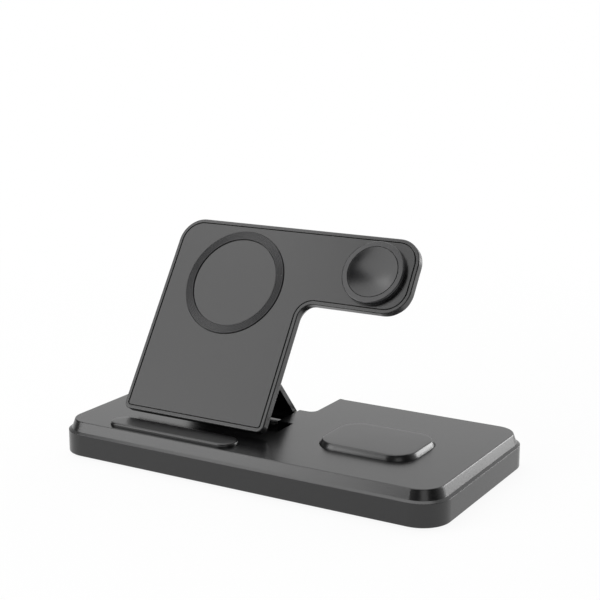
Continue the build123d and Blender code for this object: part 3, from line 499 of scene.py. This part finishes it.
# Feet: place from the middle of the base, size, round grooves, and the dimple's (radius, height)
FOOT_X, FOOT_Y = 74.0 * MM, 31.3 * MM
FOOT_R, FOOT_TOP = 6.5 * MM, 1.6 * MM
FOOT_ROUND, FOOT_ROUND_STEPS = 0.45 * MM, 5
GROOVES = (4.9 * MM, 3.3 * MM)
GROOVE_MOUTH, GROOVE_FLOOR, GROOVE_DEPTH = 0.35 * MM, 0.25 * MM, 0.22 * MM
DIMPLE = ((1.5 * MM, 0.0), (1.1 * MM, 0.14 * MM), (0.5 * MM, 0.2 * MM))
FOOT_SEGMENTS = 72

# Panel screws, in millimetres: section (radius, height), cross recess (reach, half width, height),
# places across and up the panel, and the turn of each cross in degrees
SCREW_SECTION = ((0.8, -5.3), (0.8, -1.0), (1.6, -1.0), (1.6, -0.3), (1.57, -0.16), (1.5, -0.06), (1.38, 0.0))
SCREW_RECESS = ((0.98, 0.21, 0.0), (0.92, 0.18, -0.12), (0.5, 0.13, -0.5))
SCREW_PLACES = ((-28.05, 8.0), (28.05, 8.0), (-26.05, 80.0), (40.05, 82.0), (40.05, 61.8))
SCREW_TURNS = (14.0, 52.0, 77.0, 33.0, 5.0)
SCREW_SUNK = 0.4
SCREW_SEGMENTS = 40
CROSS_CORNERS = 12

# Inlet contacts, in millimetres: both faces of the tongue (height, thickness), the row, and the ends
TONGUE_FACES = ((6.35, 0.03), (5.65, -0.03))
CONTACT_X, CONTACT_PITCH, CONTACT_HALF = 42.2, 0.5, 0.14
CONTACTS, LONG_CONTACTS = 12, (0, 3, 8, 11)
CONTACT_ROOT, CONTACT_END, LONG_END = 38.6, 42.2, 42.45
CONTACT_LEVELS = ((0.0, 0.0), (0.7, 0.0), (1.0, 0.03))

# Cove in the step of the base: ends beside the notch, and section (inset, height) in millimetres
COVE_RIGHT, COVE_LEFT = 1.8 * MM, -64.4 * MM
COVE_STEPS = 16
COVE_SECTION = (
    (0.004, -0.33), (0.004, -0.16), (0.03, -0.115), (1.38, 0.55), (1.45, 0.53),
    (1.27, 0.095), (2.1, 0.095), (2.1, 0.003), (0.4, -0.06), (0.2, -0.33),
)

# Frame of the panel: across, up its face and out from it, from the foot of its face
PANEL_LEAN = radians(56.5)
PANEL_UP = Vector((0.0, cos(PANEL_LEAN), sin(PANEL_LEAN)))
PANEL_OUT = Vector((0.0, -sin(PANEL_LEAN), cos(PANEL_LEAN)))
PANEL_FOOT = Vector((-31.3, -20.63035, 14.89867)) * MM
PANEL_FRAME = Matrix.Translation(PANEL_FOOT) @ Matrix((
    (1.0, 0.0, 0.0, 0.0),
    (0.0, PANEL_UP.y, PANEL_OUT.y, 0.0),
    (0.0, PANEL_UP.z, PANEL_OUT.z, 0.0),
    (0.0, 0.0, 0.0, 1.0),
))


def add_piece(shape, name, finish, body, stands_for=None, crease=32.0):
    """Object from a finished shape, with its finish and body, and the node that it stands for hidden."""
    bmesh.ops.recalc_face_normals(shape, faces=shape.faces)
    mesh = bpy.data.meshes.new(name)
    shape.to_mesh(mesh)
    shape.free()
    mesh.shade_smooth()
    mesh.set_sharp_from_angle(angle=radians(crease))
    mesh.materials.append(FINISHES[finish])
    piece = bpy.data.objects.new(name, mesh)
    bpy.context.scene.collection.objects.link(piece)
    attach(piece, body)
    if stands_for:
        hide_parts(stands_for)
    return piece


def rounded_outline(length, width, radius, steps=14):
    """Points round a rectangle with rounded corners, about its middle."""
    points = []
    for corner, (side_x, side_y) in enumerate(((1, 1), (-1, 1), (-1, -1), (1, -1))):
        mid_x = side_x * (length / 2 - radius)
        mid_y = side_y * (width / 2 - radius)
        for step in range(steps + 1):
            angle = pi / 2 * (corner + step / steps)
            points.append((mid_x + radius * cos(angle), mid_y + radius * sin(angle)))
    return points


def skin(shape, low, high):
    """Faces between two closed rings of points."""
    for i in range(len(low)):
        j = (i + 1) % len(low)
        shape.faces.new((low[i], low[j], high[j], high[i]))


def close_rings(shape, rings):
    """Skins rings of equal length one after another and closes both ends."""
    for low, high in zip(rings, rings[1:]):
        skin(shape, low, high)
    shape.faces.new(list(reversed(rings[0])))
    shape.faces.new(rings[-1])


def moulded_pad(middle_x, middle_y, length, width, radius, levels, crown):
    """Raised pad: rings at levels of (inset, height above the top of the base), then a slightly crowned top."""
    shape = bmesh.new()
    rings = []
    for inset, height in levels:
        outline = rounded_outline(length - 2 * inset, width - 2 * inset, radius - inset)
        rings.append([shape.verts.new((middle_x + x, middle_y + y, TOP_Z + height)) for x, y in outline])
    inset, height = levels[-1]
    outline = rounded_outline(length - 2 * inset, width - 2 * inset, radius - inset)
    for step in range(1, CROWN_STEPS):
        share = 1 - step / CROWN_STEPS
        lift = height + crown * (1 - share * share)
        rings.append([
            shape.verts.new((middle_x + share * x, middle_y + share * y, TOP_Z + lift)) for x, y in outline
        ])
    close_rings(shape, rings)
    return shape


def rounded_levels(low, high, radius, steps=6):
    """Levels (inset, height) from a foot to a top along a sloped side, with a round at the top edge.
    Low and high are (inset, height)."""
    run = Vector(high) - Vector(low)
    lean = atan2(run.x, run.y)
    reach = radius * tan((pi / 2 - lean) / 2)
    start = Vector(high) - run.normalized() * reach
    middle_at = Vector((high[0] + reach, high[1] - radius))
    levels = [tuple(low), tuple(start)]
    for step in range(1, steps + 1):
        angle = pi - (pi / 2 - lean) * step / steps - lean
        levels.append((middle_at.x + radius * cos(angle), middle_at.y + radius * sin(angle)))
    return levels


bar_levels = [(0.0, -SEAT_DEPTH)] + rounded_levels((0.0, 0.0), BAR_SIDE, BAR_ROUND)
bar_shape = moulded_pad(BAR_X, BAR_Y, BAR_L, BAR_W, BAR_W / 2, bar_levels, CROWN)
add_piece(bar_shape, "rest_bar_soft", "bar", "base", "rest_bar")
pad_levels = [(0.0, -SEAT_DEPTH)] + rounded_levels((0.0, 0.0), PAD_SIDE, PAD_ROUND)
pad_shape = moulded_pad(PAD_X, PAD_Y, PAD_L, PAD_W, PAD_R, pad_levels, CROWN)
add_piece(pad_shape, "tray_pad_soft", "pad", "base", "tray_pad")


def turned(shape, section, placing, segments):
    """Rings of points from a section of (radius, height) turned round an axis, placed by a matrix."""
    rings = []
    for radius, height in section:
        rings.append([
            shape.verts.new(placing @ Vector((radius * cos(2 * pi * i / segments),
                                              radius * sin(2 * pi * i / segments), height)))
            for i in range(segments)
        ])
    return rings


def ring_section():
    """Section of the grip ring: rounded shoulders and fine ridges on its face."""
    points = [(RING_OUTER, RING_LOW), (RING_OUTER, RING_HIGH - RING_SHOULDER)]
    for step in range(1, SHOULDER_STEPS + 1):
        angle = pi / 2 * step / SHOULDER_STEPS
        points.append((RING_OUTER - RING_SHOULDER * (1 - cos(angle)), RING_HIGH - RING_SHOULDER * (1 - sin(angle))))
    first, last = RING_OUTER - RIDGE_MARGIN, RING_INNER + RIDGE_MARGIN
    for step in range(RIDGES * RIDGE_STEPS + 1):
        share = step / (RIDGES * RIDGE_STEPS)
        dip = RIDGE_DEPTH * (1 - cos(2 * pi * RIDGES * share)) / 2
        points.append((first + (last - first) * share, RING_HIGH - dip))
    for step in range(SHOULDER_STEPS, -1, -1):
        angle = pi / 2 * step / SHOULDER_STEPS
        points.append((RING_INNER + RING_SHOULDER * (1 - cos(angle)), RING_HIGH - RING_SHOULDER * (1 - sin(angle))))
    points.append((RING_INNER, RING_LOW))
    return points


ring_shape = bmesh.new()
ring_place = PANEL_FRAME @ Matrix.Translation((0.0, RING_UP, RING_OUT))
ring_rings = turned(ring_shape, ring_section(), ring_place, RING_SEGMENTS)
for low, high in zip(ring_rings, ring_rings[1:] + ring_rings[:1]):
    skin(ring_shape, low, high)
add_piece(ring_shape, "grip_ring_soft", "silicone", "panel", "grip_ring", crease=50.0)

# Rubber feet: rounded discs with two round grooves and a moulded dimple below
foot_section = [(FOOT_R, FOOT_TOP), (FOOT_R, FOOT_ROUND)]
for turn_step in range(1, FOOT_ROUND_STEPS + 1):
    turn_angle = pi / 2 * turn_step / FOOT_ROUND_STEPS
    foot_section.append((FOOT_R - FOOT_ROUND * (1 - cos(turn_angle)), FOOT_ROUND * (1 - sin(turn_angle))))
for groove in GROOVES:
    foot_section += [
        (groove + GROOVE_MOUTH, 0.0),
        (groove + GROOVE_FLOOR, GROOVE_DEPTH),
        (groove - GROOVE_FLOOR, GROOVE_DEPTH),
        (groove - GROOVE_MOUTH, 0.0),
    ]
foot_section += DIMPLE
feet_shape = bmesh.new()
for foot_x in (-FOOT_X, FOOT_X):
    for foot_y in (-FOOT_Y, FOOT_Y):
        foot_place = Matrix.Translation((foot_x, foot_y, 0.0))
        close_rings(feet_shape, turned(feet_shape, foot_section, foot_place, FOOT_SEGMENTS))
add_piece(feet_shape, "rubber_feet_grooved", "feet", "base", "rubber_feet")


def cross_outline(reach, half):
    """Twelve corners of a plus shape."""
    quarter = [(reach, -half), (reach, half), (half, half)]
    corners = []
    for turn in range(4):
        c, s = round(cos(pi / 2 * turn)), round(sin(pi / 2 * turn))
        corners += [(c * x - s * y, s * x + c * y) for x, y in quarter]
    return corners


def cross_head_screw(shape, placing):
    """Small screw with a rounded pan head and a tapered cross recess, its face at height 0."""
    rings = turned(shape, [(r * MM, h * MM) for r, h in SCREW_SECTION], placing, SCREW_SEGMENTS)
    for low, high in zip(rings, rings[1:]):
        skin(shape, low, high)
    shape.faces.new(list(reversed(rings[0])))
    recess = []
    for reach, half, height in SCREW_RECESS:
        recess.append([
            shape.verts.new(placing @ Vector((x * MM, y * MM, height * MM))) for x, y in cross_outline(reach, half)
        ])
    for low, high in zip(recess, recess[1:]):
        skin(shape, low, high)
    shape.faces.new(recess[-1])
    rim_edges = [shape.edges.get((rings[-1][i - 1], rings[-1][i])) for i in range(SCREW_SEGMENTS)]
    mouth_edges = [shape.edges.get((recess[0][i - 1], recess[0][i])) for i in range(CROSS_CORNERS)]
    bmesh.ops.triangle_fill(shape, use_beauty=True, use_dissolve=False, edges=rim_edges + mouth_edges)


screw_shape = bmesh.new()
for (screw_x, screw_y), screw_turn in zip(SCREW_PLACES, SCREW_TURNS):
    screw_seat = PANEL_FRAME @ Matrix.Translation((screw_x * MM, screw_y * MM, SCREW_SUNK * MM))
    facing_rear = Matrix.Rotation(pi, 4, "X") @ Matrix.Rotation(radians(screw_turn), 4, "Z")
    cross_head_screw(screw_shape, screw_seat @ facing_rear)
add_piece(screw_shape, "panel_screws_cross", "steel", "panel", "panel_screws")

# Inlet: gold contacts along both faces of its tongue
contact_shape = bmesh.new()
for face_z, thick in TONGUE_FACES:
    for number in range(CONTACTS):
        contact_x = CONTACT_X + CONTACT_PITCH * (number - (CONTACTS - 1) / 2)
        contact_end = LONG_END if number in LONG_CONTACTS else CONTACT_END
        contact_rings = []
        for share, shrink in CONTACT_LEVELS:
            z = face_z + thick * share
            left, right = contact_x - CONTACT_HALF + shrink, contact_x + CONTACT_HALF - shrink
            tip = contact_end - shrink
            contact_rings.append([
                contact_shape.verts.new((x * MM, y * MM, z * MM))
                for x, y in ((left, CONTACT_ROOT), (right, CONTACT_ROOT), (right, tip), (left, tip))
            ])
        close_rings(contact_shape, contact_rings)
add_piece(contact_shape, "inlet_contacts", "gold", "base", crease=20.0)


# Cove that closes the step between the two halves of the base, open at the rear notch

def cove_line(inset):
    """Open line round the base at an inset, from the notch's right side to its left side."""
    points = [(COVE_RIGHT, BASE_W / 2 - inset)]
    for side_x, side_y, start in ((1, 1, 90), (1, -1, 0), (-1, -1, -90), (-1, 1, -180)):
        mid_x, mid_y = side_x * (BASE_L / 2 - BASE_R), side_y * (BASE_W / 2 - BASE_R)
        for step in range(COVE_STEPS + 1):
            angle = radians(start - 90 * step / COVE_STEPS)
            points.append((mid_x + (BASE_R - inset) * cos(angle), mid_y + (BASE_R - inset) * sin(angle)))
    points.append((COVE_LEFT, BASE_W / 2 - inset))
    return points


cove_shape = bmesh.new()
cove_rings = []
for inset, height in COVE_SECTION:
    cove_rings.append([cove_shape.verts.new((x, y, SPLIT_Z + height * MM)) for x, y in cove_line(inset * MM)])
for low, high in zip(cove_rings, cove_rings[1:] + cove_rings[:1]):
    for i in range(len(low) - 1):
        cove_shape.faces.new((low[i], low[i + 1], high[i + 1], high[i]))
for cove_end in (0, -1):
    cove_shape.faces.new([ring[cove_end] for ring in cove_rings])
add_piece(cove_shape, "seam_cove", "base_cove", "base", crease=24.0)


# Stage: white floor, soft boxes and camera

AIM = Vector((-0.01, 0.0, 0.03))
FLOOR_HALF, FLOOR_DROP, FLOOR_TONE = 12.0, 0.1 * MM, 0.85
GLOW_NEAR, GLOW_FAR = (0.16, 0.92), (0.5, 1.0)
ROOM_FRONT, ROOM_REAR = (-0.1, 0.06), (0.85, 1.0)
WHITE = 1.0

# Soft boxes: name, turn and rise in degrees, reach, size (width, height), brightness
SOFT_BOXES = (
    ("key_low_box", 230, 18, 1.3, (0.85, 0.5), 4.4),
    ("key_high_box", 226, 41, 1.3, (0.75, 0.5), 2.4),
    ("fill_box", 310, 19, 1.3, (0.62, 0.42), 1.3),
    ("rear_box", 59, 9, 1.4, (0.74, 0.48), 6.9),
    ("top_box", 180, 76, 1.5, (1.5, 1.5), 2.2),
)


def softbox(name, turn, rise, reach, size, level):
    """Soft box turned to the stand, that the camera doesn't see."""
    lamp = bpy.data.lights.new(name, "AREA")
    lamp.shape = "RECTANGLE"
    lamp.size, lamp.size_y = size
    lamp.energy = level * pi * size[0] * size[1]
    box = bpy.data.objects.new(name, lamp)
    flat = cos(radians(rise))
    toward = Vector((flat * cos(radians(turn)), flat * sin(radians(turn)), sin(radians(rise))))
    box.location = AIM + toward * reach
    box.rotation_euler = (-toward).to_track_quat("-Z", "Y").to_euler()
    bpy.context.scene.collection.objects.link(box)
    box.visible_camera = False


def white_floor():
    """Plain white floor that keeps a faint shadow."""
    mesh = bpy.data.meshes.new("floor")
    shape = bmesh.new()
    bmesh.ops.create_grid(shape, x_segments=2, y_segments=2, size=FLOOR_HALF)
    shape.to_mesh(mesh)
    shape.free()
    floor = bpy.data.objects.new("floor", mesh)
    bpy.context.scene.collection.objects.link(floor)
    floor.location.z = -FLOOR_DROP
    material = bpy.data.materials.new("floor_white")
    material.use_nodes = True
    tree = material.node_tree
    tree.nodes.clear()
    path = add_node(tree, "ShaderNodeLightPath")
    matt = add_node(tree, "ShaderNodeBsdfDiffuse")
    matt.inputs["Color"].default_value = (FLOOR_TONE, FLOOR_TONE, FLOOR_TONE, 1.0)
    glow = add_node(tree, "ShaderNodeEmission")
    set_inputs(glow, Strength=WHITE)
    seen = maths(tree, "MAXIMUM", path.outputs["Is Camera Ray"], path.outputs["Is Glossy Ray"])
    coord = add_node(tree, "ShaderNodeTexCoord")
    away = add_node(tree, "ShaderNodeVectorMath", operation="LENGTH")
    tree.links.new(coord.outputs["Object"], away.inputs[0])
    (near, near_share), (far, far_share) = GLOW_NEAR, GLOW_FAR
    share = span(tree, away.outputs["Value"], near, far, near_share, far_share, smooth=True)
    mix = add_node(tree, "ShaderNodeMixShader")
    tree.links.new(maths(tree, "MULTIPLY", seen, share), mix.inputs["Fac"])
    tree.links.new(matt.outputs["BSDF"], mix.inputs[1])
    tree.links.new(glow.outputs["Emission"], mix.inputs[2])
    result = add_node(tree, "ShaderNodeOutputMaterial")
    tree.links.new(mix.outputs["Shader"], result.inputs["Surface"])
    material.cycles.emission_sampling = "NONE"
    mesh.materials.append(material)


def studio_world():
    """Soft grey room that is brightest at the rear, white where the camera sees it."""
    world = bpy.data.worlds.new("studio")
    bpy.context.scene.world = world
    world.use_nodes = True
    tree = world.node_tree
    ground = tree.nodes["Background"]
    ground.inputs["Color"].default_value = (1.0, 1.0, 1.0, 1.0)
    coord = add_node(tree, "ShaderNodeTexCoord")
    axes = add_node(tree, "ShaderNodeSeparateXYZ")
    tree.links.new(coord.outputs["Generated"], axes.inputs["Vector"])
    (front_y, front_level), (rear_y, rear_level) = ROOM_FRONT, ROOM_REAR
    room = span(tree, axes.outputs["Y"], front_y, rear_y, front_level, rear_level, smooth=True)
    path = add_node(tree, "ShaderNodeLightPath")
    level = span(tree, path.outputs["Is Camera Ray"], 0.0, 1.0, room, WHITE)
    tree.links.new(level, ground.inputs["Strength"])


white_floor()
studio_world()
for soft_box in SOFT_BOXES:
    softbox(*soft_box)

camera = bpy.data.objects.new("camera", bpy.data.cameras.new("camera"))
camera.data.lens = CAMERA_LENS
camera.data.sensor_width = SENSOR
camera.location = CAMERA_PLACE
camera.rotation_euler = (pi / 2 + CAMERA_PITCH, 0.0, CAMERA_YAW)
bpy.context.scene.collection.objects.link(camera)
bpy.context.scene.camera = camera
bpy.context.scene.view_settings.view_transform = "Standard"
